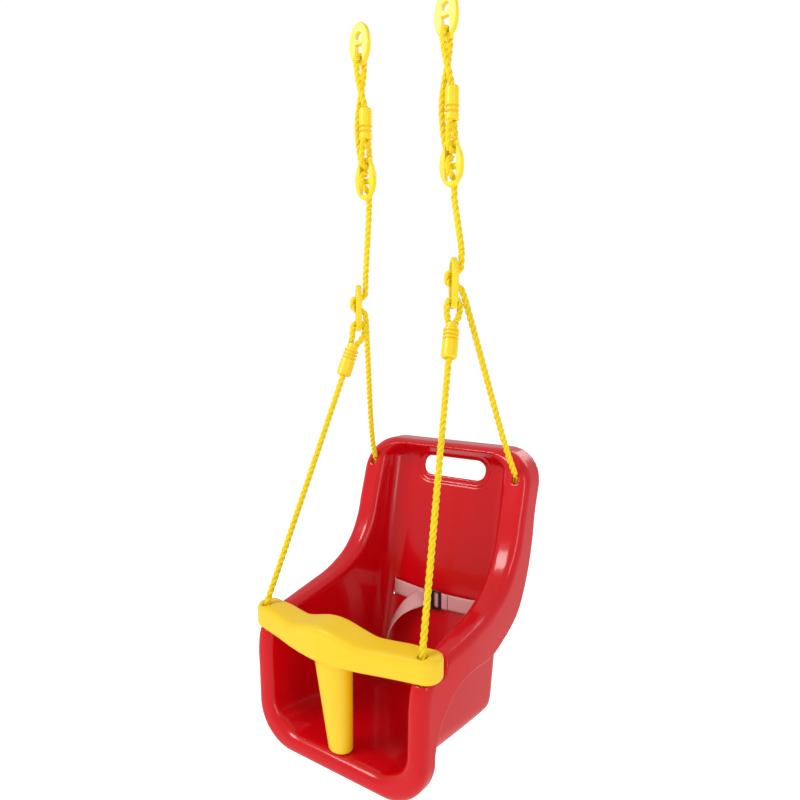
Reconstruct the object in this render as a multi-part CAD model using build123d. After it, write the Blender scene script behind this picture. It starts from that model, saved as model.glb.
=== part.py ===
from build123d import *
import math
import os

# A toddler bucket swing: a moulded seat with a sliding T-bar and a lap belt, hung from two ropes a side.
# Millimetres. Everything is drawn in the seat's frame, whose origin is midway between the rope holes in
# the T-bar's top: X goes across the seat, Y from its front to its back, Z up. HOOKS is the point midway
# between the two hanger holes in that frame, and the files are written relative to it.
HANG_Y = 141.6  # the hangers are straight above the swing's centre of mass
HOOKS = Vector(0, HANG_Y, 789)
SIDES = {"left": -1, "right": 1}

# Ropes: three-strand polyethylene, one size throughout.
ROPE = 9.0
ROPE_BEND = 8.8  # centreline radius where a rope goes round a plate's bar with 0.3 to spare
HANG_X = 71.0  # each hanger from the middle
BAR_HOLE_X = 130.0  # each front rope from the middle, at the T-bar
REAR_HOLE_X, REAR_HOLE_Z = 129.0, 164.0  # where a rear rope goes through the rim of the backrest
ROPE_HOLE_R = 6.0

# Plates: one oval pattern for the hangers and adjusters, and a longer one where the ropes branch.
PLATE_WIDE, PLATE_TALL, PLATE_THICK = 35.0, 58.0, 8.0
HOOK_HOLE_R = 6.0
HANGER_LOW = 750.0
ADJUSTER_LOW = 564.0
ADJUSTER_X = 9.0  # the adjuster and its clamp hang a little to one side of the hanger
BRANCH_TALL = 68.0
BRANCH_X, BRANCH_Y = 81.0, 147.0
BRANCH_Z = {"left": 412.0, "right": 441.0}  # tied on at slightly different heights
BRANCH_TWIST = 42.0  # degrees that the branch plates are turned about the rope

# Clamps that close each rope's eye.
UPPER_CLAMP_TOP, UPPER_CLAMP_LONG, UPPER_CLAMP_R = 690.0, 42.0, 9.5
LOWER_CLAMP_FROM_BAR, LOWER_CLAMP_LONG, LOWER_CLAMP_R = 24.0, 49.0, 10.5

# Seat shell: one moulding, with a wide rim that rolls over into a skirt.
WALL = 4.0
RIM_HALF = 149.0
RIM_LOW, RIM_HIGH = -196.0, 204.0
OPENING_HALF = 115.0
LIP_TOP = -167.0
FRONT_FACE = -13.0
FRONT_ROUND = 14.0
POST_TOP = -33.4  # the top of each front post, where the T-bar rests
BACK_Y = 256.0  # inside of the back wall at the height of the origin
RECLINE = 0.19  # how far the back wall leans for each unit of height

# T-bar.
BAR_HALF, BAR_BOTTOM, BAR_EDGE, BAR_HOLE_R = 149.5, -33.0, 5.0, 6.0
BAR_WALL, POST_FOOT = 3.0, -166.5

# Lap belt.
BELT_WIDE, BELT_THICK = 25.0, 1.6
BELT_SLOT_X, BELT_Z = 88.0, -45.0
GLIDE = Vector(-8, 238, -45)  # the middle of the tri-glide
GLIDE_WIDE, GLIDE_TALL, GLIDE_THICK = 31.0, 31.0, 3.0


def write(name, shape):
    """One file for each sub-part, moved into the row's frame."""
    export_step(Pos(-HOOKS) * shape, f"parts/{name}.step")


def tube(name, route, radii=None, ends_at=()):
    """A rope along straight runs joined by arcs; a corner with no radius of its own takes the largest.
    It is trimmed flush with what its ends meet."""
    route = [Vector(*p) for p in route]
    used = []
    for i in range(1, len(route) - 1):
        before, after = route[i] - route[i - 1], route[i + 1] - route[i]
        turn = math.radians(before.get_angle(after))
        widest = 0.45 * min(before.length, after.length) / math.tan(turn / 2)
        used.append((radii or {}).get(i, widest))
    path = FilletPolyline(*route, radius=used) if used else Line(*route)
    solid = sweep(Plane(origin=path @ 0, z_dir=path % 0) * Circle(ROPE / 2), path)
    share = solid.volume / (math.pi * ROPE ** 2 / 4 * path.length)
    print(f"{name}: {path.length:.0f} mm, radii {[round(r) for r in used]}, volume share {share:.4f}")
    for other in ends_at:
        solid -= other
    write(name, max(solid.solids(), key=lambda piece: piece.volume))
    return solid


# ------------------------------------------------------------------------------------------ seat shell
CREST = [  # the rim's front and top edge, seen from the side
    (FRONT_FACE, -62), (-8, -36), (8, -20), (34, -11), (64, -6), (100, 0), (140, 9), (178, 27), (202, 51),
    (217, 79), (225, 106), (233, 132), (243, 164), (256, RIM_HIGH),
]
SKIRT = [  # the skirt's free edge, from the top of the back down to the front
    (299, RIM_HIGH), (293, 178), (283, 148), (272, 113), (265, 74), (250, 28), (222, -18),
    (180, -44), (140, -56), (90, -54), (60, -61), (38, -80), (22, -102), (15, -130),
]


def inset(points, depth):
    """The same open line, moved to its right-hand side."""
    moved = []
    for i, (y, z) in enumerate(points):
        before, after = points[max(i - 1, 0)], points[min(i + 1, len(points) - 1)]
        along = Vector(after[0] - before[0], after[1] - before[1]).normalized()
        moved.append((y + along.Y * depth, z - along.X * depth))
    return moved


def back_at(z, outward=0.0):
    """How far back the back wall's inside is at a height."""
    return BACK_Y + RECLINE * z + outward


def seen_from_side(face, half=160):
    """A face drawn in (Y, Z), carried across the seat."""
    return extrude(Plane.YZ * face, amount=half, both=True)


def seen_from_front(sketch, low, high):
    """A sketch drawn in (X, Z), carried from one Y to another."""
    return extrude(Plane.XZ.offset(-low) * sketch, amount=low - high)


def frame_outline(half, half_low, low, high, low_radius, high_radius):
    """A rounded outline in (X, Z), a little narrower at its foot."""
    shape = Polygon(
        (-half_low, low), (half_low, low), (half, -20), (half, high), (-half, high), (-half, -20),
        align=None,
    )
    shape = fillet(shape.vertices().group_by(Axis.Y)[0], low_radius)
    return fillet(shape.vertices().group_by(Axis.Y)[-1], high_radius)


def tub(half, half_low, high, low_radius, high_radius, floor_front, floor_back, outward, heel):
    """The bucket as a solid: its outline, its side with a falling floor and rounded heel, and its plan."""
    top = 260
    side = Polygon(
        (FRONT_FACE, floor_front), (FRONT_FACE, top), (back_at(top, outward), top),
        (back_at(floor_back, outward), floor_back), align=None,
    )
    side = fillet(side.vertices().sort_by(Axis.Y)[2], heel)
    plan = Polygon((-half - 1, -60), (half + 1, -60), (half - 8, BACK_Y + outward),
                   (8 - half, BACK_Y + outward), align=None)
    plan = fillet(plan.vertices().group_by(Axis.Y)[-1], high_radius - 14)
    low = -260
    leaning = extrude(Pos(0, RECLINE * low, low) * plan, amount=560, dir=(0, RECLINE, 1))
    outline = frame_outline(half, half_low, floor_back, high, low_radius, high_radius)
    solid = seen_from_front(outline, FRONT_FACE - 1, 320) & leaning
    return solid & seen_from_side(side)


def above_crest():
    """The space above and in front of the rim."""
    return seen_from_side(make_face(
        Spline(*CREST) + Polyline(CREST[-1], (256, 400), (-80, 400), (-80, CREST[0][1]), CREST[0])))


def band():
    """The rim and its skirt, before anything is cut out of it."""
    region = (
        Polyline(SKIRT[-1], (15, RIM_LOW), (FRONT_FACE, RIM_LOW), CREST[0])
        + Spline(*CREST)
        + Line(CREST[-1], SKIRT[0])
        + Spline(*SKIRT)
    )
    side = make_face(region)
    side = fillet(side.vertices().sort_by(lambda corner: corner.X + corner.Y)[0], FRONT_ROUND)
    outline = frame_outline(RIM_HALF, RIM_HALF - 6, RIM_LOW, RIM_HIGH, 60, 52)
    plan = Pos(0, FRONT_FACE + 200, -300) * RectangleRounded(2 * RIM_HALF, 400, FRONT_ROUND)
    return seen_from_front(outline, -20, 310) & seen_from_side(side) & extrude(plan, 600)


def behind_rim(bucket_outline):
    """The hollow between the skirt and the bucket, open at the back and below."""
    inner = inset(CREST[3:], WALL + 1)
    top = (inner[-1][0], RIM_HIGH - WALL)
    front = FRONT_FACE + WALL
    region = (
        Polyline((70, RIM_LOW + WALL), (front, RIM_LOW + WALL), (front, POST_TOP - WALL - 1),
                 (22, POST_TOP - WALL - 1), inner[0])
        + Spline(*inner[:-1], top)
        + Polyline(top, (340, top[1]), (340, -120), (70, RIM_LOW + WALL))
    )
    inside = frame_outline(RIM_HALF - WALL, RIM_HALF - 6 - WALL, RIM_LOW + WALL, RIM_HIGH - WALL, 56, 48)
    ring = seen_from_front(inside, -20, 320) - seen_from_front(bucket_outline, -21, 321)
    return ring & seen_from_side(make_face(region))


def hand_hold():
    slot = Pos(0, 160) * RectangleRounded(112, 31, 14.5)
    return seen_from_front(slot, 250, 320)


def seat_shell():
    """One moulding: the bucket, the rim round it and the skirt that the rim turns back into."""
    outer_half = OPENING_HALF + WALL
    bucket = tub(outer_half, outer_half - 5, RIM_HIGH - 7, 62, 46, -170, -197, WALL, 46) - above_crest()
    cavity = tub(OPENING_HALF, OPENING_HALF - 5, RIM_HIGH - 11, 58, 42, -166, -193, 0, 42)
    doorway = seen_from_front(
        frame_outline(OPENING_HALF, OPENING_HALF - 5, LIP_TOP, 400, 46, 20), -40, 40)
    bucket_outline = frame_outline(outer_half, outer_half - 5, RIM_LOW - 1, RIM_HIGH - 7, 48, 46)
    rim = band() - behind_rim(bucket_outline)
    bar_seat = seen_from_side(Polygon(
        (-60, POST_TOP), (29.5, POST_TOP), (50, POST_TOP + 51), (-60, POST_TOP + 51), align=None))
    shell = rim + bucket - cavity - doorway - bar_seat - hand_hold()
    for side in SIDES.values():
        shell -= Pos(side * BAR_HOLE_X, 0, POST_TOP) * Cylinder(ROPE_HOLE_R, 20)
        shell -= Pos(side * REAR_HOLE_X, 246, REAR_HOLE_Z) * Rot(90, 0, 0) * Cylinder(ROPE_HOLE_R, 24)
        shell -= Pos(side * BELT_SLOT_X, back_at(BELT_Z), BELT_Z) * Box(5, 30, BELT_WIDE + 3)
    return shell


# ----------------------------------------------------------------------------------------------- T-bar
def bar_plan(depth, end):
    """The bar from above, bowed forward, drawn in by a depth all round and stopped at an end."""
    ahead = [(end - 15, -10 + depth), (end * 0.72, -16 + depth), (60, -29 + depth), (0, -39 + depth)]
    behind = [(0, 9 - depth), (57, 14 - depth), (end * 0.67, 24 - depth), (end - 15, 28 - depth)]
    return make_face(
        Spline(*[(-x, y) for x, y in ahead], *ahead[2::-1])
        + ThreePointArc(ahead[0], (end, 9), behind[-1])
        + Spline(*behind[::-1], *[(-x, y) for x, y in behind[1:]])
        + ThreePointArc((-behind[-1][0], behind[-1][1]), (-end, 9), (-ahead[0][0], ahead[0][1]))
    )


def bar_front(depth):
    """The bar from the front, with its raised middle."""
    top = -depth
    hump = Spline((-75, top), (-52, 3 + top), (-30, 11 + top), (0, 14 + top), (30, 11 + top), (52, 3 + top),
                  (75, top), tangents=[(1, 0), (1, 0)])
    low = BAR_BOTTOM + depth
    return make_face(hump + Polyline((75, top), (BAR_HALF, top), (BAR_HALF, low), (-BAR_HALF, low),
                                     (-BAR_HALF, top), (-75, top)))


def bar_post(depth, foot):
    """The post, tapering from the middle of the bar to its foot."""
    sections = ((-9, -28, 27, 22), (-1, -100, 22, 18), (5, foot, 17, 14))
    return loft([Pos(0, y, z) * Ellipse(wide - depth, deep - depth) for y, z, wide, deep in sections])


def t_bar():
    """A hollow moulding: a bar with a raised middle and a tapering post, bored for the front ropes."""
    solids = []
    for depth, end, foot in ((0, BAR_HALF, POST_FOOT), (BAR_WALL, BAR_HALF - 34, POST_FOOT - 1)):
        bar = seen_from_front(bar_front(depth), -50, 40) & extrude(Pos(0, 0, -80) * bar_plan(depth, end), 160)
        solids.append(fillet(bar.edges(), BAR_EDGE - depth / 2) + bar_post(depth, foot))
    bar = solids[0] - solids[1]
    for side in SIDES.values():
        bar -= Pos(side * BAR_HOLE_X, 0, 0) * Cylinder(BAR_HOLE_R, 120)
    return bar


# ---------------------------------------------------------------------------------------------- plates
def plate(tall, holes):
    """An oval plate standing in the XZ plane about its middle, with softened edges and its holes cut."""
    body = extrude(Plane.XZ * Ellipse(PLATE_WIDE / 2, tall / 2), PLATE_THICK / 2, both=True)
    body = fillet(body.edges(), 2.5)
    for hole in holes:
        body -= extrude(Plane.XZ * hole, PLATE_THICK, both=True)
    return body


def with_round_bar(body, z, width):
    """The same plate with a round bar in place of what was left at a height, for a rope to turn on."""
    gap = Pos(0, 0, z) * Box(width, PLATE_THICK * 2, PLATE_THICK + 3)
    return body - gap + Pos(0, 0, z) * Rot(0, 90, 0) * Cylinder(PLATE_THICK / 2, width + 2)


def hanger_plate():
    """Round hook hole above, square rope window below; the rope turns on the window's lower bar."""
    middle = PLATE_TALL / 2
    hook = Pos(0, HOOKS.Z - HANGER_LOW - middle) * Circle(HOOK_HOLE_R)
    window = Pos(0, 8 + 10 - middle) * Rectangle(12, 20)
    body = plate(PLATE_TALL, [hook, window])
    return with_round_bar(body, 4 - middle, 11.6)


def adjuster_plate():
    """Two windows, one above the other: the eye and the rope share the upper, the rope leaves the lower."""
    middle = PLATE_TALL / 2
    upper = Pos(0, 41 - middle) * RectangleRounded(17, 22, 3)
    lower = Pos(0, 14.5 - middle) * RectangleRounded(17, 15, 3)
    body = plate(PLATE_TALL, [upper, lower])
    return with_round_bar(with_round_bar(body, 26 - middle, 17), 55 - middle, 17)


def branch_plate():
    """Two windows: the rope weaves round the bar between them, and the front rope's eye hangs below."""
    upper = Pos(0, 19) * RectangleRounded(14, 18, 3)
    lower = Pos(0, -12) * RectangleRounded(14, 28, 3)
    body = plate(BRANCH_TALL, [upper, lower])
    return with_round_bar(with_round_bar(body, 6, 14), -30, 14)


# ---------------------------------------------------------------------------------------------- clamps
def turned(profile):
    """A solid of revolution about Z from (radius, height) points, closed along the axis."""
    low, high = profile[0][1], profile[-1][1]
    line = Polyline((0, low), *profile, (0, high), (0, low))
    return revolve(Plane.XZ * make_face(line), Axis.Z)


def upper_clamp():
    """Sleeve above, a neck with one thin ring, and a collar below; its base is at the origin."""
    r, neck = UPPER_CLAMP_R, UPPER_CLAMP_R - 3
    return turned([
        (r - 1, 0), (r, 1), (r, 7.5), (r - 0.6, 8), (neck, 8), (neck, 11.5), (r - 0.4, 11.5), (r - 0.4, 14.5),
        (neck, 14.5), (neck, 18), (r, 18), (r, UPPER_CLAMP_LONG - 2), (r - 2, UPPER_CLAMP_LONG),
    ])


def lower_clamp():
    """Plain barrel below, three ribs and a small collar above; its base is at the origin."""
    r, groove, height = LOWER_CLAMP_R, LOWER_CLAMP_R - 2.5, 24.0
    profile = [(r - 2, 0), (r, 2), (r, height), (groove, height + 0.8)]
    for _ in range(3):
        profile += [(groove, height + 1.8), (r, height + 2.6), (r, height + 5), (groove, height + 5.8)]
        height += 5.4
    return turned(profile + [(groove, LOWER_CLAMP_LONG - 1.5), (groove - 1.5, LOWER_CLAMP_LONG)])


def knot(radius, long):
    """A stopper knot as one rounded solid, its near face at the origin and its length along Z."""
    body = Pos(0, 0, long / 2) * Cylinder(radius, long)
    return fillet(body.edges(), radius * 0.45) + Pos(0, 0, long + 3) * Cylinder(ROPE / 2, 10)


# ----------------------------------------------------------------------------------------------- ropes
def hang_one_side(side, sign):
    """The hanger, the adjuster with its clamp, and the rope down to where the main rope starts."""
    x, y = sign * HANG_X, HANG_Y
    eye_x, clamp_low = x + ADJUSTER_X, UPPER_CLAMP_TOP - UPPER_CLAMP_LONG
    adjuster = Pos(eye_x, y, ADJUSTER_LOW + PLATE_TALL / 2) * adjuster_plate()
    clamp = Pos(eye_x, y, clamp_low) * upper_clamp()
    write(f"hanger_plate_{side}", Pos(x, y, HANGER_LOW + PLATE_TALL / 2) * hanger_plate())
    write(f"adjuster_plate_{side}", adjuster)
    write(f"upper_clamp_{side}", clamp)

    over = HANGER_LOW + PLATE_THICK / 2 + ROPE_BEND
    loop = [
        (eye_x, y, UPPER_CLAMP_TOP), (x + 5, y - 7, 716), (x, y - ROPE_BEND, over),
        (x, y + ROPE_BEND, over), (x - 3, y + 8, 722), (x - 9, y + 4, 684), (x - 10.5, y + 6, 650),
        (x - 7, y + 9.5, 622),
    ]
    loop_solid = tube(f"rope_loop_{side}", loop, {2: 8.7, 3: 8.7}, [clamp])
    eye = [
        (eye_x, y - 4.7, clamp_low), (eye_x, y - 9, 628), (eye_x, y - 9, 610.2), (eye_x, y + 9, 610.2),
        (eye_x, y + 9, 628), (eye_x, y + 4.7, clamp_low),
    ]
    tube(f"rope_adjuster_eye_{side}", eye, {2: 8.8, 3: 8.8}, [clamp])
    turn = ADJUSTER_LOW + 26
    weave = [
        loop[-1], (eye_x - 4.5, y + 10, 602.5), (eye_x, y - ROPE_BEND, turn + ROPE_BEND),
        (eye_x, y - ROPE_BEND, turn - ROPE_BEND), (eye_x, y + 9.2, 577.5), (eye_x - 0.5, y + 8, 552),
    ]
    return weave[-1], tube(f"rope_weave_{side}", weave, {1: 9.5, 2: 8.6, 3: 8.6, 4: 9}, [loop_solid])


def branch_one_side(side, sign, start, weave_solid):
    """The branch plate, the main and rear ropes that weave through it, and the front rope's eye."""
    middle = Vector(sign * BRANCH_X, BRANCH_Y, BRANCH_Z[side])
    turn = math.radians(BRANCH_TWIST)
    frame = Plane(origin=middle, x_dir=(math.cos(turn), math.sin(turn), 0), z_dir=(0, 0, 1))

    def at(normal, z, along=0.0):
        return tuple(frame.from_local_coords(Vector(normal, along, z)))

    write(f"branch_plate_{side}", Pos(middle) * Rot(0, 0, BRANCH_TWIST + 90) * branch_plate())
    arrive = at(10.5, 44)
    main_solid = tube(f"rope_main_{side}", [start, arrive], None, [weave_solid])
    end = Vector(sign * REAR_HOLE_X, 240, REAR_HOLE_Z)
    leave = frame.to_local_coords(end)
    out = Vector(leave.X, leave.Y, 0).normalized()
    knot_y = 256
    rear_knot = Pos(sign * REAR_HOLE_X, knot_y, REAR_HOLE_Z) * Rot(-90, 0, 0) * knot(11, 17)
    write(f"rear_knot_{side}", rear_knot)
    rear = [
        arrive, at(10.5, 24), at(8, 14.8), at(-ROPE_BEND, 14.8), at(-ROPE_BEND, -2.8), at(9, -3.4),
        at(10 + 7 * out.X, -20, 7 * out.Y), tuple(end), (sign * REAR_HOLE_X, knot_y, REAR_HOLE_Z),
    ]
    tube(f"rope_rear_{side}", rear, {1: 20, 2: 8, 3: 8.7, 4: 8.7, 5: 9, 7: 10}, [main_solid])

    low_bar = Vector(*at(0, -30))
    hole = Vector(sign * BAR_HOLE_X, 0, 0)
    down = (hole - low_bar).normalized()
    clamp_top = low_bar + down * LOWER_CLAMP_FROM_BAR
    clamp_base = clamp_top + down * LOWER_CLAMP_LONG
    clamp = Plane(origin=clamp_base, z_dir=-down) * lower_clamp()
    write(f"lower_clamp_{side}", clamp)
    across = Vector(*at(1, 0)) - middle
    across = (across - down * across.dot(down)).normalized() * 4.7
    eye = [
        tuple(clamp_top + across), at(9, -42), at(9, -21.2), at(-9, -21.2), at(-9, -42),
        tuple(clamp_top - across),
    ]
    tube(f"rope_branch_eye_{side}", eye, {2: 8.8, 3: 8.8}, [clamp])
    front = [tuple(clamp_base), (hole.X, hole.Y, 1.0), (hole.X, hole.Y, -12.0)]
    front_solid = tube(f"rope_front_{side}", front, {1: 26}, [clamp])
    front_knot = Pos(hole.X, 0, -43) * Rot(180, 0, 0) * knot(8.6, 16)
    write(f"front_knot_{side}", front_knot)
    tube(f"rope_front_end_{side}", [front[-1], (hole.X, 0, -43)], None, [front_solid])


# ------------------------------------------------------------------------------------------------ belt
def belt():
    """One strap, round the back through two slots; its stitched end and its free run meet at the glide."""
    slot_y, behind = back_at(BELT_Z), back_at(BELT_Z) + WALL + 3.3
    x, y, z = GLIDE.X, GLIDE.Y, GLIDE.Z
    layer = GLIDE_THICK / 2 + 0.35 + BELT_THICK / 2
    front, back = y - layer, y + layer

    bar = x + 12.4
    doubled = back - BELT_THICK - 0.1
    line = (
        Polyline((bar + 26, doubled), (bar + 14, doubled), (bar + 5, front), (bar, front))
        + ThreePointArc((bar, front), (bar - layer, y), (bar, back))
        + Polyline((bar, back), (55, back), (80, slot_y - 7),
                   (BELT_SLOT_X, slot_y - 4), (BELT_SLOT_X, behind))
    )
    stitched = extrude(Pos(0, 0, z - BELT_WIDE / 2) * trace(line, BELT_THICK), BELT_WIDE)

    bar = x + 3.4
    line = (
        ThreePointArc((bar, front), (bar + layer, y), (bar, back))
        + Polyline((bar, back), (-60, back), (-80, slot_y - 7), (-BELT_SLOT_X, slot_y - 4),
                   (-BELT_SLOT_X, behind), (BELT_SLOT_X - 1, behind))
    )
    free = extrude(Pos(0, 0, z - BELT_WIDE / 2) * trace(line, BELT_THICK), BELT_WIDE)
    path = Spline((bar, front, z), (x - 20, front - 1.5, z), (x - 38, y - 9, z - 8), (x - 52, y - 20, z - 24),
                  (x - 62, y - 36, z - 44), tangents=[(-1, 0, 0), (-0.3, -0.5, -0.8)])
    across_path = Plane(origin=path @ 0, x_dir=(0, 0, 1), z_dir=path % 0)
    tail = sweep(across_path * Rectangle(BELT_WIDE, BELT_THICK), path)
    return stitched, free + tail


def tri_glide():
    """A flat frame with three bars for the webbing to thread through."""
    frame = Box(GLIDE_WIDE, GLIDE_THICK, GLIDE_TALL)
    frame = fillet(frame.edges().filter_by(Axis.Y), 3)
    for window_x, wide in ((-7.0, 10.0), (7.1, 8.6)):
        frame -= Pos(window_x, 0, 0) * Box(wide, GLIDE_THICK * 2, GLIDE_TALL - 4)
    return Pos(GLIDE) * fillet(frame.edges().filter_by(Axis.Y, reverse=True).filter_by(Axis.Z), 0.6)


if __name__ == "__main__":
    os.makedirs("parts", exist_ok=True)
    write("seat_shell", seat_shell())
    write("t_bar", t_bar())
    for side, sign in SIDES.items():
        end, weave_solid = hang_one_side(side, sign)
        branch_one_side(side, sign, end, weave_solid)
    stitched, free = belt()
    write("belt_stitched_end", stitched)
    write("belt_webbing", free)
    write("tri_glide", tri_glide())
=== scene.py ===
"""Looks for the toddler bucket swing. Shapes are worked out in millimetres in the seat's frame, whose
origin is midway between the T-bar's rope holes (X across, Y to the back, Z up), and then moved into the row's
frame, in metres."""
import math

import bpy
import numpy as np
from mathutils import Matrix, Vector

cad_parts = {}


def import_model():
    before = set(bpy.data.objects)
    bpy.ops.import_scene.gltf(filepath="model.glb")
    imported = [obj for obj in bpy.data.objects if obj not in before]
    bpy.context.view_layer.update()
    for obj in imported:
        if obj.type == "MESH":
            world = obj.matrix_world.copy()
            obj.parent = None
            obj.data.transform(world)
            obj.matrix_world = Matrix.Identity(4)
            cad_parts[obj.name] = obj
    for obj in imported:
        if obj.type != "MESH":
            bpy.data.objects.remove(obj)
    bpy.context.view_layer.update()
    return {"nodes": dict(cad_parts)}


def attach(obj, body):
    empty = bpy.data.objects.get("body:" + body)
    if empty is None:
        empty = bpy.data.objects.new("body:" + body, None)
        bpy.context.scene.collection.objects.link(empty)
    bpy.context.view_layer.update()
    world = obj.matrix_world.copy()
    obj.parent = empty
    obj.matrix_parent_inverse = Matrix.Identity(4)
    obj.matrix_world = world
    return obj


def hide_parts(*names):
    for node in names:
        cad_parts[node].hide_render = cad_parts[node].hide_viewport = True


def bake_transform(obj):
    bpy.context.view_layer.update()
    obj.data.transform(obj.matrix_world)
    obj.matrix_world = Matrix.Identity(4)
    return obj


HANG_X, HANG_Y = 71.0, 141.6
HOOKS = np.array([0.0, HANG_Y, 789.0])  # midway between the hanger plates' hook holes
SIDES = {"left": -1, "right": 1}

# Seat shell, the same sizes as the solid it stands for, apart from its narrower front.
WALL = 4.0
RIM_HALF, RIM_LOW, RIM_HIGH = 149.0, -196.0, 204.0
OPENING_HALF, LIP_TOP = 115.0, -167.0
FRONT_FACE, POST_TOP = -13.0, -33.4
BACK_Y, RECLINE = 256.0, 0.19
SQUARE_TO_BACK = 0.982  # a depth measured square to the leaning back wall, as a share of the depth
FLOOR_FRONT, FLOOR_FALL, FLOOR_RUN = -166.0, 27.0, 185.0
SIDE_DRAFT, FOOT_NARROWING = 8.0, 5.0
TUB_LOW_ROUND, TUB_HIGH_ROUND, BACK_ROUND, FLOOR_ROUND = 44.0, 42.0, 32.0, 42.0
RIM_LOW_ROUND, RIM_HIGH_ROUND = 60.0, 52.0
NOTCH_BACK, NOTCH_LEAN = 29.5, 0.374  # where the T-bar rests: its back edge, and how that edge leans
OUTER_ROLL, INNER_ROLL = 14.0, 12.0
FRONT_NARROWING = 6.0
HOLD_Z, HOLD_HALF, HOLD_TALL, HOLD_ROUND = 160.0, 56.0, 31.0, 14.5
ROPE_HOLE_R = 4.9
BELT_SLOT_X, BELT_SLOT_Z, BELT_SLOT_WIDE, BELT_SLOT_TALL = 88.0, -44.0, 3.0, 27.0
SHELL_GRID, BAR_GRID = 1.8, 1.6
CREST = [
    (FRONT_FACE, -90), (FRONT_FACE, -62), (-8, -36), (8, -20), (34, -11), (64, -6), (100, 0), (140, 9),
    (178, 27), (202, 51), (217, 79), (225, 106), (233, 132), (243, 164), (256, RIM_HIGH),
]
SKIRT = [
    (299, RIM_HIGH), (293, 178), (283, 148), (272, 113), (265, 74), (250, 28), (222, -18), (180, -44),
    (140, -56), (90, -54), (60, -61), (38, -80), (22, -102), (15, -130),
]

# T-bar. Its front and back edges are distances from the middle, then how far back the edge is.
BAR_HALF, BAR_BOTTOM, BAR_HUMP = 149.5, -33.0, 14.0
BAR_END_ROUND, BAR_EDGE = 17.0, 7.5
BAR_FRONT = ((0, 20, 40, 60, 84, 108, 134.5, 160), (-39, -37, -33.5, -29, -22, -16, -10, -6))
BAR_BACK = ((0, 30, 57, 80, 100, 134.5, 160), (9, 10.5, 14, 19, 24, 28, 30))
BAR_HOLE_R = 6.0

# The T-bar's post, whose half width, half thickness and depth change from its start to its foot.
POST_START, POST_FOOT = -28.0, -166.5
POST_WIDE, POST_THICK, POST_Y = (27.0, 17.0), (22.0, 14.0), (-9.0, 5.0)

# Ropes and hardware.
ROPE, LAY_LENGTH = 9.0, 27.0
ADJUSTER_X = 9.0
ON_BAR = 8.8  # from the middle of a plate's bar to the middle of the rope that turns on it
BAR_HOLE_X, REAR_HOLE_X, REAR_HOLE_Z = 130.0, 129.0, 164.0
FRONT_KNOT_Z, REAR_KNOT_Y, KNOT_TURNS = -43.0, 248.5, 1.7
BRANCH_X, BRANCH_Y, BRANCH_Z, BRANCH_TWIST = 81.0, 147.0, {"left": 412.0, "right": 441.0}, 42.0
GLIDE = (-8.0, 238.0, -45.0)

# Camera.
CAMERA, CAMERA_YAW, CAMERA_PITCH = (528.76, -605.28, 370.35), 35.416, -5.554
SENSOR, LENS = 36.0, 29.2518

# Studio, in the row's frame: each lamp's name, place, aim, size and power.
FLOOR_Z, FLOOR_SIZE, BACKDROP_RADIUS = -1.35, 14, 9
LAMPS = (
    ("key", (-1.0, -1.6, 0.9), (0, 0, -0.75), (0.9, 0.9), 26),
    ("fill", (1.8, -0.9, 0.0), (0, 0, -0.75), (0.4, 1.6), 7),
    ("back", (0.4, 1.6, 0.6), (0, 0, -0.6), (1.4, 1.0), 10),
)


def to_row(points):
    """Seat-frame millimetres to row-frame metres."""
    return (np.asarray(points, float) - HOOKS) / 1000


# ---------------------------------------------------------------------------------------- distance fields
def round_and(a, b, radius):
    """Where both fields are negative, with the edge between them rounded."""
    corner = np.hypot(np.maximum(radius + a, 0), np.maximum(radius + b, 0))
    return np.minimum(-radius, np.maximum(a, b)) + corner


def round_or(a, b, radius):
    """Where either field is negative, with the corner between them filled."""
    corner = np.hypot(np.maximum(radius - a, 0), np.maximum(radius - b, 0))
    return np.maximum(radius, np.minimum(a, b)) - corner


def step(value, low, high):
    """Smooth step from 0 at low to 1 at high."""
    t = np.clip((value - low) / (high - low), 0, 1)
    return t * t * (3 - 2 * t)


def smooth_line(points, per_span=6):
    """Catmull-Rom curve through points."""
    p = np.array([points[0], *points, points[-1]], float)
    t = np.linspace(0, 1, per_span, endpoint=False)[:, None]
    spans = [
        0.5 * (2 * p[i] + (p[i + 1] - p[i - 1]) * t
               + (2 * p[i - 1] - 5 * p[i] + 4 * p[i + 1] - p[i + 2]) * t ** 2
               + (3 * p[i] - p[i - 1] - 3 * p[i + 1] + p[i + 2]) * t ** 3)
        for i in range(1, len(p) - 2)
    ]
    return np.vstack([*spans, p[-1:]])


def beside_line(line, u, v):
    """Signed distance to an open line: negative on its right-hand side."""
    best = np.full(np.broadcast(u, v).shape, 1e9)
    signed = best.copy()
    for (ax, ay), (bx, by) in zip(line[:-1], line[1:]):
        ex, ey = bx - ax, by - ay
        t = np.clip(((u - ax) * ex + (v - ay) * ey) / (ex * ex + ey * ey), 0, 1)
        away = np.hypot(u - ax - t * ex, v - ay - t * ey)
        closer = away < best - 1e-6
        best = np.where(closer, away, best)
        signed = np.where(closer, np.where(ex * (v - ay) - ey * (u - ax) > 0, away, -away), signed)
    return signed


def outline(x, z, half, half_low, low, high, low_radius, high_radius):
    """Rounded outline seen from the front, a little narrower at its foot."""
    side = np.abs(x) - np.interp(z, [low, -20], [half_low, half])
    rounded_low = round_and(side, low - z, low_radius)
    rounded_high = round_and(side, z - high, high_radius)
    return np.where(z < 0, rounded_low, rounded_high)


def grid(low, high, size):
    """Three broadcastable axes of a grid, and its first corner."""
    axes = [np.arange(a, b + size, size) for a, b in zip(low, high)]
    x, y, z = axes
    return x[:, None, None], y[None, :, None], z[None, None, :], np.array(low, float)


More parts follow.
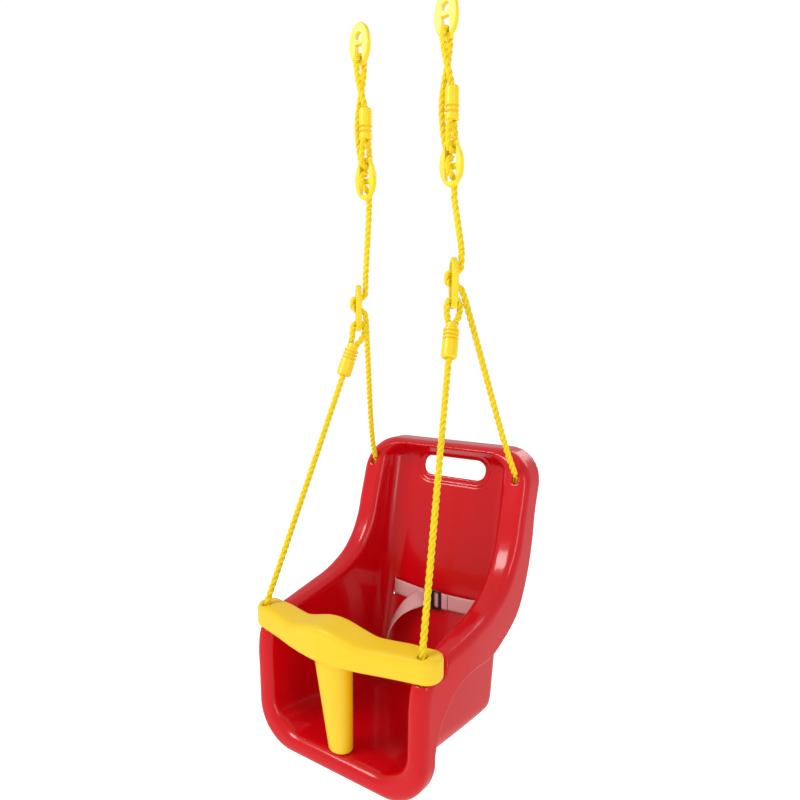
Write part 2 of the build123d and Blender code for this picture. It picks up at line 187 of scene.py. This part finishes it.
# ------------------------------------------------------------------------------------ surface from a field
def surface(name, field, corner, size):
    """Smooth-shaded mesh of a field's zero surface."""
    cells = np.array(field.shape) - 1
    total = np.zeros((*cells, 3), np.float32)
    count = np.zeros(cells, np.float32)
    inside = field < 0
    for axis in range(3):
        others = [a for a in range(3) if a != axis]
        for i in (0, 1):
            for j in (0, 1):
                start = np.zeros(3, int)
                start[others[0]], start[others[1]] = i, j
                end = start.copy()
                end[axis] = 1
                one = tuple(slice(s, s + n) for s, n in zip(start, cells))
                two = tuple(slice(s, s + n) for s, n in zip(end, cells))
                crossed = inside[one] != inside[two]
                a, b = field[one][crossed], field[two][crossed]
                place = np.tile(start.astype(np.float32), (a.size, 1))
                place[:, axis] += a / (a - b)
                total[crossed] += place
                count[crossed] += 1
    used = count > 0
    where = np.argwhere(used)
    number = np.full(cells, -1, np.int64)
    number[used] = np.arange(len(where))
    spots = where + total[used] / count[used][:, None]
    quads = []
    for axis in range(3):
        a, b = [other for other in range(3) if other != axis]
        one = [slice(1, n) for n in cells]
        two = [slice(1, n) for n in cells]
        one[axis], two[axis] = slice(0, cells[axis]), slice(1, cells[axis] + 1)
        first, second = inside[tuple(one)], inside[tuple(two)]
        at = np.argwhere(first != second)
        base = at + 1
        base[:, axis] -= 1
        ring = []
        for da, db in ((1, 1), (0, 1), (0, 0), (1, 0)):
            cell = base.copy()
            cell[:, a] -= da
            cell[:, b] -= db
            ring.append(number[cell[:, 0], cell[:, 1], cell[:, 2]])
        ring = np.stack(ring, 1)
        outward = first[tuple(at.T)]
        if axis == 1:
            outward = ~outward
        ring[~outward] = ring[~outward][:, ::-1]
        quads.append(ring)
    quads = np.vstack(quads)
    spots = evened(spots, quads)
    mesh = bpy.data.meshes.new(name)
    verts = to_row(corner + spots * size)
    mesh.vertices.add(len(verts))
    mesh.vertices.foreach_set("co", verts.astype(np.float32).ravel())
    mesh.loops.add(quads.size)
    mesh.loops.foreach_set("vertex_index", quads.astype(np.int32).ravel())
    mesh.polygons.add(len(quads))
    mesh.polygons.foreach_set("loop_start", np.arange(0, quads.size, 4, dtype=np.int32))
    mesh.polygons.foreach_set("use_smooth", np.ones(len(quads), bool))
    mesh.update(calc_edges=True)
    mesh.validate()
    piece = bpy.data.objects.new(name, mesh)
    bpy.context.scene.collection.objects.link(piece)
    return piece


def evened(spots, quads, rounds=5):
    """Points eased towards their neighbours and back out again, which doesn't shrink the surface."""
    ends = np.vstack([quads[:, [i, (i + 1) % 4]] for i in range(4)])
    many = np.bincount(ends[:, 0], minlength=len(spots))[:, None]
    for share in (0.5, -0.52) * rounds:
        near = [np.bincount(ends[:, 0], spots[ends[:, 1], k], len(spots)) for k in range(3)]
        near = np.stack(near, 1)
        spots = spots + share * (near / many - spots)
    return spots


# ------------------------------------------------------------------------------------------- seat shell
def tub(x, y, z, grow, crest_high):
    """The bucket as a filled field, drawn in or out by a wall."""
    half = OPENING_HALF + grow
    front_view = outline(x, z, half, half - FOOT_NARROWING, LIP_TOP - 26 - grow, crest_high,
                         TUB_LOW_ROUND, TUB_HIGH_ROUND)
    floor = FLOOR_FRONT - grow - FLOOR_FALL * np.clip(y / FLOOR_RUN, 0, 1) - z
    side = np.abs(x) - (half + 1 - SIDE_DRAFT * np.clip(y / BACK_Y, 0, 1.2))
    back = (y - BACK_Y - RECLINE * z) * SQUARE_TO_BACK - grow
    shape = round_and(np.maximum(front_view, side), back, BACK_ROUND)
    return round_and(shape, floor, FLOOR_ROUND + grow)


def seat_shell():
    """Bucket, rolled rim and skirt as one moulding, with its openings and holes."""
    x, y, z, corner = grid((-154, -20, -204), (154, 310, 212), SHELL_GRID)
    crest_line = np.vstack([(FRONT_FACE, -400), smooth_line(CREST), (330, 420)])
    skirt_line = np.vstack([(299, 420), smooth_line(SKIRT), (15, -400)])
    over_crest = beside_line(crest_line, y, z)
    under_skirt = beside_line(skirt_line, y, z)
    narrowed = np.abs(x) + FRONT_NARROWING * (1 - step(y, -10, 110))
    rim_outline = outline(narrowed, z, RIM_HALF, RIM_HALF - FOOT_NARROWING, RIM_LOW, RIM_HIGH,
                          RIM_LOW_ROUND, RIM_HIGH_ROUND)
    past_side = np.maximum(np.abs(x) - (HOLD_HALF - HOLD_ROUND), 0)
    past_middle = np.maximum(np.abs(z - HOLD_Z) - (HOLD_TALL / 2 - HOLD_ROUND), 0)
    slot = np.hypot(past_side, past_middle) - HOLD_ROUND
    behind_slot = y - 3.0 * step(-slot, -13, -7)
    cavity = tub(x, behind_slot, z, 0, RIM_HIGH - 11)
    bucket = tub(x, behind_slot, z, WALL, RIM_HIGH - 7)
    band = round_and(rim_outline, over_crest, OUTER_ROLL)
    notch_edge = np.maximum(NOTCH_BACK, NOTCH_BACK + (z - POST_TOP) * NOTCH_LEAN)
    notch = np.maximum(POST_TOP - z, y - notch_edge)
    doorway = outline(x, z, OPENING_HALF, OPENING_HALF - FOOT_NARROWING, LIP_TOP, 400, 46, 20)
    inside = np.minimum(cavity, np.maximum(doorway, y - 40))
    rolled_in = round_and(over_crest, -inside, INNER_ROLL)
    hollow = round_and(rim_outline + WALL, over_crest + WALL, OUTER_ROLL - WALL)
    hollow = np.maximum(np.maximum(hollow, -bucket), rolled_in + WALL)
    hollow = np.maximum(hollow, WALL - notch)
    body = np.minimum(round_and(band, under_skirt, 1.2), np.maximum(bucket, over_crest))
    body = np.maximum(np.maximum(body, -hollow), rolled_in)
    body = round_and(body, -notch, 1.2)
    body = round_and(body, -np.maximum(slot, 250 - y), 1.8)
    for side in SIDES.values():
        post_hole = np.hypot(x - side * BAR_HOLE_X, y) - ROPE_HOLE_R
        post_hole = np.maximum(post_hole, np.abs(z - POST_TOP) - 12)
        rim_hole = np.hypot(x - side * REAR_HOLE_X, z - REAR_HOLE_Z) - ROPE_HOLE_R
        rim_hole = np.maximum(rim_hole, np.abs(y - 246) - 16)
        belt_slot = np.maximum(np.abs(x - side * BELT_SLOT_X) - BELT_SLOT_WIDE / 2,
                               np.abs(z - BELT_SLOT_Z) - BELT_SLOT_TALL / 2)
        belt_slot = np.maximum(belt_slot, np.abs(y - 249) - 15)
        for hole in (post_hole, rim_hole, belt_slot):
            body = np.maximum(body, -hole)
    return surface("seat_shell_moulding", body.astype(np.float32), corner, SHELL_GRID)


# ----------------------------------------------------------------------------------------------- T-bar
def t_bar():
    """Bowed bar with a raised middle, and the tapering post under it."""
    x, y, z, corner = grid((-156, -50, -174), (156, 40, 22), BAR_GRID)
    across = np.abs(x)
    ahead = np.interp(across, *BAR_FRONT)
    behind = np.interp(across, *BAR_BACK)
    middle, deep = (ahead + behind) / 2, (behind - ahead) / 2
    plan = round_and((np.abs(y - middle) - deep) * 0.95, across - BAR_HALF, BAR_END_ROUND)
    hump = BAR_HUMP * np.cos(np.clip(across / 66, 0, 1) * math.pi / 2) ** 1.7
    height = np.maximum(z - hump, BAR_BOTTOM - z)
    bar = round_and(plan, height, BAR_EDGE)
    drop = np.clip((POST_START - z) / (POST_START - POST_FOOT), 0, 1)
    wide, thick, post_y = (first + (last - first) * drop for first, last in (POST_WIDE, POST_THICK, POST_Y))
    post = (np.sqrt((x / wide) ** 2 + ((y - post_y) / thick) ** 2) - 1) * thick
    post = round_and(post, np.maximum(POST_FOOT - z, z + 20), 3)
    body = round_or(bar, post, 7)
    for side in SIDES.values():
        body = round_and(body, BAR_HOLE_R - np.hypot(x - side * BAR_HOLE_X, y), 1.5)
    return surface("t_bar_moulding", body.astype(np.float32), corner, BAR_GRID)


# ----------------------------------------------------------------------------------------------- ropes
def rope_line(name, points):
    """A route through given points, as closely spaced points along a NURBS curve."""
    data = bpy.data.curves.new(name + "_route", "CURVE")
    data.dimensions = "3D"
    spline = data.splines.new("NURBS")
    spline.points.add(len(points) - 1)
    for point, place in zip(spline.points, to_row(points)):
        point.co = (*place, 1.0)
    spline.order_u = 3
    spline.use_endpoint_u = True
    spline.resolution_u = 12
    route = bpy.data.objects.new(name + "_route", data)
    bpy.context.scene.collection.objects.link(route)
    evaluated = route.evaluated_get(bpy.context.evaluated_depsgraph_get())
    read = bpy.data.meshes.new_from_object(evaluated)
    line = np.array([v.co for v in read.vertices])
    bpy.data.objects.remove(route)
    bpy.data.meshes.remove(read)
    along = np.concatenate([[0], np.cumsum(np.linalg.norm(np.diff(line, axis=0), axis=1))])
    even = np.linspace(0, along[-1], max(int(along[-1] / 0.0016), 8))
    return np.stack([np.interp(even, along, line[:, k]) for k in range(3)], 1), along[-1]


def frames(line):
    """Directions across a line that turn as little as they can."""
    ahead = np.gradient(line, axis=0)
    ahead /= np.linalg.norm(ahead, axis=1)[:, None]
    first = np.cross(ahead[0], (0.3, 0.9, 0.2))
    across = [first / np.linalg.norm(first)]
    for direction in ahead[1:]:
        side = across[-1] - direction * across[-1].dot(direction)
        across.append(side / np.linalg.norm(side))
    across = np.array(across)
    return across, np.cross(ahead, across)


def mesh_piece(name, verts, faces, uvs):
    """Smooth-shaded mesh with one place in its texture for each point."""
    mesh = bpy.data.meshes.new(name)
    mesh.from_pydata([tuple(v) for v in verts], [], faces)
    mesh.polygons.foreach_set("use_smooth", [True] * len(mesh.polygons))
    layer = mesh.uv_layers.new(name="along")
    by_corner = np.array([uvs[loop.vertex_index] for loop in mesh.loops])
    layer.data.foreach_set("uv", by_corner.ravel())
    piece = bpy.data.objects.new(name, mesh)
    bpy.context.scene.collection.objects.link(piece)
    return piece


def strands(name, line, length, material, sides=10):
    """Three strands laid round a line."""
    across, up = frames(line)
    along = np.linspace(0, length, len(line))
    verts, faces, uvs = [], [], []
    thick, off = 0.262 * ROPE / 1000, 0.246 * ROPE / 1000
    for strand in range(3):
        turn = 2 * math.pi * (along / (LAY_LENGTH / 1000) + strand / 3)
        centre = line + off * (np.cos(turn)[:, None] * across + np.sin(turn)[:, None] * up)
        start = len(verts)
        for i, place in enumerate(centre):
            for k in range(sides):
                angle = turn[i] + 2 * math.pi * k / sides
                out = math.cos(angle) * across[i] + math.sin(angle) * up[i]
                verts.append(place + thick * out)
                uvs.append((k / sides, along[i] * 100))
        for i in range(len(line) - 1):
            for k in range(sides):
                a, b = start + i * sides + k, start + i * sides + (k + 1) % sides
                faces.append((a, b, b + sides, a + sides))
        faces.append(tuple(range(start + sides - 1, start - 1, -1)))
        last = start + (len(line) - 1) * sides
        faces.append(tuple(range(last, last + sides)))
    piece = mesh_piece(name, verts, faces, uvs)
    piece.data.materials.append(material)
    return piece


def rope(name, points, material, bodies, node):
    """A rope that stands for its CAD node and follows one body, or stays fixed where it runs between two."""
    line, length = rope_line(name, points)
    piece = strands(name + "_strands", line, length, material)
    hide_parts(node)
    if len(bodies) == 1:
        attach(piece, bodies[0])
    else:
        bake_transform(piece)
    return piece


def ropes_at_adjuster(side, sign, material):
    """The loop over the hanger, the eye in the upper clamp and the weave through the adjuster."""
    x, y = sign * HANG_X, HANG_Y
    eye_x, adjuster = x + ADJUSTER_X, "adjuster_" + side
    loop = [(eye_x, y, 690), (x + 5, y - 7, 716), (x, y - ON_BAR, 744), (x, y - ON_BAR, 762.8),
            (x, y + ON_BAR, 762.8), (x, y + ON_BAR, 744), (x - 3, y + 8, 722),
            (x - 9, y + 4, 684), (x - 10.5, y + 6, 650), (x - 7, y + 9.5, 622)]
    rope(f"rope_loop_{side}", loop, material, ("ropes", adjuster), f"rope_loop_{side}")
    eye = [(eye_x, y - 4.7, 648), (eye_x, y - 9, 628), (eye_x, y - 9, 610.2), (eye_x, y + 9, 610.2),
           (eye_x, y + 9, 628), (eye_x, y + 4.7, 648)]
    rope(f"rope_adjuster_eye_{side}", eye, material, (adjuster,), f"rope_adjuster_eye_{side}")
    weave = [(x - 7, y + 9.5, 622), (eye_x - 4.5, y + 10, 602.5), (eye_x, y - ON_BAR, 598.8),
             (eye_x, y - ON_BAR, 581.2), (eye_x, y + 9.2, 577.5), (eye_x - 0.5, y + 8, 552)]
    rope(f"rope_weave_{side}", weave, material, (adjuster,), f"rope_weave_{side}")
    return weave[-1]


def ropes_below(side, sign, material, main_top):
    """The main and rear ropes, which weave through the branch plate, and the front rope that hangs on it."""
    turn = math.radians(BRANCH_TWIST)
    middle = np.array([sign * BRANCH_X, BRANCH_Y, BRANCH_Z[side]])

    def at(normal, z, along=0.0):
        """A place beside the branch plate, by its distance in front of the plate, its height and its side."""
        return tuple(middle + (normal * math.cos(turn) - along * math.sin(turn),
                               normal * math.sin(turn) + along * math.cos(turn), z))

    arrive = at(10.5, 44)
    rope(f"rope_main_{side}", [main_top, arrive], material, ("adjuster_left", "seat"),
         f"rope_main_{side}")
    end = np.array([sign * REAR_HOLE_X, 240, REAR_HOLE_Z])
    gap = end - middle
    out = np.array([gap[0] * math.cos(turn) + gap[1] * math.sin(turn),
                    -gap[0] * math.sin(turn) + gap[1] * math.cos(turn)])
    out /= np.linalg.norm(out)
    rear = [arrive, at(10.5, 24), at(8, 14.8), at(-ON_BAR, 14.8), at(-ON_BAR, -2.8), at(9, -3.4),
            at(10 + 7 * out[0], -20, 7 * out[1]), tuple(end),
            (sign * REAR_HOLE_X, 256, REAR_HOLE_Z)]
    rope(f"rope_rear_{side}", rear, material, ("seat",), f"rope_rear_{side}")

    low_bar = np.array(at(0, -30))
    hole = np.array([sign * BAR_HOLE_X, 0, 0])
    down = (hole - low_bar) / np.linalg.norm(hole - low_bar)
    clamp_top, clamp_base = low_bar + 24 * down, low_bar + 73 * down
    across = np.array(at(1, 0)) - middle
    across -= down * across.dot(down)
    across *= 4.7 / np.linalg.norm(across)
    eye = [tuple(clamp_top + across), at(9, -42), at(9, -21.2), at(-9, -21.2), at(-9, -42),
           tuple(clamp_top - across)]
    rope(f"rope_branch_eye_{side}", eye, material, ("seat",), f"rope_branch_eye_{side}")
    in_bar, under_post = (hole[0], 0, -12), (hole[0], 0, FRONT_KNOT_Z)
    front = [tuple(clamp_base), tuple(clamp_base * 0.06 + hole * 0.94), (hole[0], 0, 1), in_bar]
    rope(f"rope_front_{side}", front, material, ("seat", "t_bar"), f"rope_front_{side}")
    rope(f"rope_front_end_{side}", [in_bar, under_post], material, ("t_bar", "seat"),
         f"rope_front_end_{side}")


def knot(name, centre, axis, radius, long, material, node):
    """A stopper knot: the rope's end, wound round on itself."""
    axis, line = np.array(axis, float), []
    one = np.cross(axis, (1, 0, 0))
    one /= np.linalg.norm(one)
    two = np.cross(axis, one)
    wind, last = radius - ROPE / 2, long - ROPE / 2
    for t in np.linspace(0, 1, 40):
        angle = t * 2 * KNOT_TURNS * math.pi
        close = 1 - 0.9 * step(t, 0.86, 1.0)
        height = ROPE / 2 + (last - ROPE / 2) * t
        out = math.cos(angle) * one + math.sin(angle) * two
        line.append(np.array(centre) + axis * height + wind * close * out)
    line = to_row(line)
    length = np.linalg.norm(np.diff(line, axis=0), axis=1).sum()
    piece = strands(name, line, length, material)
    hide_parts(node)
    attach(piece, "seat")


# ------------------------------------------------------------------------------------------------ belt
def webbing(name, points, tilts, material, body="seat", wide=25.0, thick=1.5):
    """Flat strap along points. Each tilt is the strap's width direction at that point."""
    line = smooth_line(points, 10)
    lean = smooth_line(tilts, 10)
    ahead = np.gradient(line, axis=0)
    ahead /= np.linalg.norm(ahead, axis=1)[:, None]
    lean -= ahead * (lean * ahead).sum(1)[:, None]
    lean /= np.linalg.norm(lean, axis=1)[:, None]
    face = np.cross(ahead, lean)
    along = np.concatenate([[0], np.cumsum(np.linalg.norm(np.diff(line, axis=0), axis=1))])
    verts, faces, uvs, count = [], [], [], 9
    for i in range(len(line)):
        for layer in (-0.5, 0.5):
            for k in range(count):
                s = k / (count - 1) - 0.5
                edge = 1 - 0.5 * (abs(s) > 0.49)
                verts.append(line[i] + lean[i] * wide * s + face[i] * thick * layer * edge)
                uvs.append((s * wide / 1000, along[i] / 1000))
    ring = list(range(count)) + list(range(2 * count - 1, count - 1, -1))
    for i in range(len(line) - 1):
        for k in range(len(ring)):
            a, b = ring[k] + i * 2 * count, ring[(k + 1) % len(ring)] + i * 2 * count
            faces.append((a, a + 2 * count, b + 2 * count, b))
    faces.append(tuple(ring))
    faces.append(tuple(v + (len(line) - 1) * 2 * count for v in ring[::-1]))
    piece = mesh_piece(name, to_row(verts), faces, uvs)
    piece.data.materials.append(material)
    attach(piece, body)
    return piece


def belt(material):
    """Lap belt: a strap to each slot, the run behind the seat, the loose tail and the stitched fold."""
    x, y, z = GLIDE
    slot = BELT_SLOT_X
    up = (0, 0, 1)
    layer = 2.65
    left = [(x - 2, y + layer, z), (x - 14, y + layer, z), (x - 26, y + layer, z), (-50, 241.5, z + 1),
            (-72, 243, z + 2.5), (-84, 245, z + 3), (-slot, 249, z + 3.5), (-slot, 253, z + 3)]
    strap = webbing("belt_left_strap", left, [up] * len(left), material)
    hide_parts("belt_webbing")
    behind = [(-94, 249.5, z), (-90, 253.5, z), (-82, 257, z), (0, 257, z), (60, 257, z), (86, 257, z)]
    webbing("belt_behind", behind, [up] * len(behind), material)
    tail = [(x - 6, y + layer - 0.4, z), (x - 11, y + 0.4, z), (x - 17, y - layer - 0.4, z),
            (-33, 234, z - 5), (-47, 231, z - 14), (-61, 225, z - 28), (-72, 218, z - 48),
            (-78, 212, z - 72)]
    tilts = [up, up, up, (-0.1, 0.3, 0.9), (-0.3, 0.6, 0.7), (-0.45, 0.8, 0.45),
             (-0.5, 0.85, 0.2), (-0.5, 0.85, 0.05)]
    webbing("belt_tail", tail, tilts, material)
    right = [(x + 1, y + layer, z), (x + 12, y + layer, z), (x + 28, y + layer, z), (55, 241.5, z + 1),
             (74, 243, z + 2.5), (84, 245, z + 3), (slot, 249, z + 3.5), (slot, 254, z + 3)]
    strap = webbing("belt_right_strap", right, [up] * len(right), material)
    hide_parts("belt_stitched_end")
    fold = [(x + 17, y + layer - 1.55, z), (x + 22, y + layer - 1.6, z), (x + 27, y + layer - 1.5, z)]
    webbing("belt_fold", fold, [up] * len(fold), material, "tri_glide")


# ------------------------------------------------------------------------------------------- materials
def material(name, colour, rough, bump=0.0, bump_scale=300.0, mottle=0.04, coat=0.0, specular=0.5):
    """Plastic with slight uneven colour and sheen and a fine surface texture."""
    made = bpy.data.materials.new(name)
    made.use_nodes = True
    nodes, links = made.node_tree.nodes, made.node_tree.links
    shader = nodes["Principled BSDF"]
    place = nodes.new("ShaderNodeTexCoord")
    broad = nodes.new("ShaderNodeTexNoise")
    broad.inputs["Scale"].default_value = 14
    broad.inputs["Detail"].default_value = 4
    links.new(place.outputs["Object"], broad.inputs["Vector"])
    ramp = nodes.new("ShaderNodeValToRGB")
    for stop, gain in ((0, 1 - mottle), (1, 1 + mottle)):
        ramp.color_ramp.elements[stop].color = (*[min(c * gain, 1) for c in colour], 1)
    links.new(broad.outputs["Fac"], ramp.inputs["Fac"])
    links.new(ramp.outputs["Color"], shader.inputs["Base Color"])
    sheen = nodes.new("ShaderNodeMapRange")
    sheen.inputs["To Min"].default_value = rough * 0.85
    sheen.inputs["To Max"].default_value = rough * 1.15
    links.new(broad.outputs["Fac"], sheen.inputs["Value"])
    links.new(sheen.outputs["Result"], shader.inputs["Roughness"])
    shader.inputs["Coat Weight"].default_value = coat
    shader.inputs["Coat Roughness"].default_value = 0.06
    shader.inputs["Specular IOR Level"].default_value = specular
    if bump:
        fine = nodes.new("ShaderNodeTexNoise")
        fine.inputs["Scale"].default_value = bump_scale
        fine.inputs["Detail"].default_value = 3
        links.new(place.outputs["Object"], fine.inputs["Vector"])
        relief = nodes.new("ShaderNodeBump")
        relief.inputs["Strength"].default_value = bump
        relief.inputs["Distance"].default_value = 0.0004
        links.new(fine.outputs["Fac"], relief.inputs["Height"])
        links.new(relief.outputs["Normal"], shader.inputs["Normal"])
    return made


def fibre_material(name, colour, shade, across, along, bump):
    """Threads: a stripe pattern in the piece's own length and width, over a soft unevenness."""
    made = material(name, colour, 0.55, mottle=0.06, specular=0.35)
    nodes, links = made.node_tree.nodes, made.node_tree.links
    shader = nodes["Principled BSDF"]
    uv = nodes.new("ShaderNodeUVMap")
    uv.uv_map = "along"
    stretch = nodes.new("ShaderNodeMapping")
    stretch.inputs["Scale"].default_value = (across, along, 1)
    links.new(uv.outputs["UV"], stretch.inputs["Vector"])
    threads = nodes.new("ShaderNodeTexNoise")
    threads.inputs["Scale"].default_value = 1.0
    threads.inputs["Detail"].default_value = 2
    links.new(stretch.outputs["Vector"], threads.inputs["Vector"])
    relief = nodes.new("ShaderNodeBump")
    relief.inputs["Strength"].default_value = bump
    relief.inputs["Distance"].default_value = 0.0005
    links.new(threads.outputs["Fac"], relief.inputs["Height"])
    links.new(relief.outputs["Normal"], shader.inputs["Normal"])
    mix = nodes.new("ShaderNodeMixRGB")
    mix.blend_type = "MULTIPLY"
    mix.inputs["Color2"].default_value = (*shade, 1)
    base = shader.inputs["Base Color"].links[0].from_socket
    contrast = nodes.new("ShaderNodeMapRange")
    contrast.inputs["From Min"].default_value = 0.35
    contrast.inputs["From Max"].default_value = 0.7
    links.new(threads.outputs["Fac"], contrast.inputs["Value"])
    links.new(contrast.outputs["Result"], mix.inputs["Fac"])
    links.new(base, mix.inputs["Color1"])
    links.new(mix.outputs["Color"], shader.inputs["Base Color"])
    return made


# --------------------------------------------------------------------------------------- stage and view
def lamp(name, place, aim, size, power):
    """Rectangular soft light at a place, turned towards what it lights."""
    data = bpy.data.lights.new(name, "AREA")
    data.shape = "RECTANGLE"
    data.size, data.size_y = size
    data.energy = power
    made = bpy.data.objects.new(name, data)
    made.location = place
    made.rotation_euler = (Vector(aim) - Vector(place)).to_track_quat("-Z", "Y").to_euler()
    bpy.context.scene.collection.objects.link(made)


def glowing(name, strength, base):
    """Plain surface that gives some white light of its own."""
    made = bpy.data.materials.new(name)
    made.use_nodes = True
    shader = made.node_tree.nodes["Principled BSDF"]
    shader.inputs["Base Color"].default_value = (base, base, base, 1)
    shader.inputs["Roughness"].default_value = 0.9
    shader.inputs["Emission Color"].default_value = (1, 1, 1, 1)
    shader.inputs["Emission Strength"].default_value = strength
    return made


def stage():
    """Soft white light, pale floor and a white backdrop that only the camera sees."""
    scene = bpy.context.scene
    scene.view_settings.view_transform = "Standard"
    world = bpy.data.worlds.new("studio")
    scene.world = world
    world.use_nodes = True
    world.node_tree.nodes["Background"].inputs["Color"].default_value = (1, 1, 1, 1)
    world.node_tree.nodes["Background"].inputs["Strength"].default_value = 0.5
    for each in LAMPS:
        lamp(*each)
    bpy.ops.mesh.primitive_plane_add(size=FLOOR_SIZE, location=(0, 0, FLOOR_Z))
    floor = bpy.context.object
    floor.name = "floor"
    floor.visible_glossy = False
    floor.data.materials.append(glowing("floor", 0.8, 0.7))
    bpy.ops.mesh.primitive_uv_sphere_add(segments=48, ring_count=24, radius=BACKDROP_RADIUS,
                                         location=(0, 0, -0.5))
    backdrop = bpy.context.object
    backdrop.name = "backdrop"
    for kind in ("diffuse", "glossy", "transmission", "volume_scatter", "shadow"):
        setattr(backdrop, "visible_" + kind, False)
    backdrop.data.materials.append(glowing("backdrop", 1.0, 0.0))


def camera():
    """The view: from the front right, a little above the seat."""
    data = bpy.data.cameras.new("camera")
    data.sensor_width = SENSOR
    data.lens = LENS
    made = bpy.data.objects.new("camera", data)
    made.location = to_row(CAMERA)
    made.rotation_euler = (math.radians(90 + CAMERA_PITCH), 0, math.radians(CAMERA_YAW))
    bpy.context.scene.collection.objects.link(made)
    bpy.context.scene.camera = made


def looks():
    """All the materials, by the name of their slot."""
    made = {
        "shell_red": material("shell_red", (0.64, 0.001, 0.006), rough=0.2, bump=0.03, bump_scale=90,
                              mottle=0.05, coat=0.3, specular=0.35),
        "bar_yellow": material("bar_yellow", (0.95, 0.62, 0.006), rough=0.42, bump=0.12, bump_scale=900,
                               mottle=0.03),
        "plate_yellow": material("plate_yellow", (0.95, 0.7, 0.01), rough=0.34, bump=0.1, bump_scale=700,
                                 mottle=0.04),
        "clamp_yellow": material("clamp_yellow", (0.95, 0.68, 0.01), rough=0.32, bump=0.1, bump_scale=700,
                                 mottle=0.04),
        "glide_black": material("glide_black", (0.012, 0.012, 0.014), rough=0.3, bump=0.1, bump_scale=900,
                                mottle=0.2),
        "rope_yellow": fibre_material("rope_yellow", (1.0, 0.8, 0.012), shade=(0.93, 0.74, 0.35),
                                      across=16, along=1.2, bump=0.6),
        "webbing_pink": fibre_material("webbing_pink", (0.84, 0.5, 0.5), shade=(0.8, 0.68, 0.68),
                                       across=900, along=2600, bump=0.5),
    }
    return made


def dress(nodes, look, starts):
    """Gives one material to the CAD nodes whose names begin in one of several ways."""
    for name, node in nodes.items():
        if name.startswith(starts):
            node.data.materials.clear()
            node.data.materials.append(look)


def moulding(piece, look, node, body):
    """A moulded piece that stands for its CAD node."""
    piece.data.materials.append(look)
    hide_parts(node)
    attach(piece, body)


def main():
    """Everything that is shown."""
    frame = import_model()
    look = looks()
    dress(frame["nodes"], look["plate_yellow"], ("hanger_plate", "adjuster_plate", "branch_plate"))
    dress(frame["nodes"], look["clamp_yellow"], ("upper_clamp", "lower_clamp"))
    dress(frame["nodes"], look["glide_black"], ("tri_glide",))
    moulding(seat_shell(), look["shell_red"], "seat_shell", "seat")
    moulding(t_bar(), look["bar_yellow"], "t_bar", "t_bar")
    for side, sign in SIDES.items():
        main_top = ropes_at_adjuster(side, sign, look["rope_yellow"])
        ropes_below(side, sign, look["rope_yellow"], main_top)
        knot(f"front_knot_{side}_turns", (sign * BAR_HOLE_X, 0, FRONT_KNOT_Z), (0, 0, -1), 8.6, 16,
             look["rope_yellow"], f"front_knot_{side}")
        knot(f"rear_knot_{side}_turns", (sign * REAR_HOLE_X, REAR_KNOT_Y, REAR_HOLE_Z), (0, 1, 0), 11, 19,
             look["rope_yellow"], f"rear_knot_{side}")
    belt(look["webbing_pink"])
    stage()
    camera()


main()
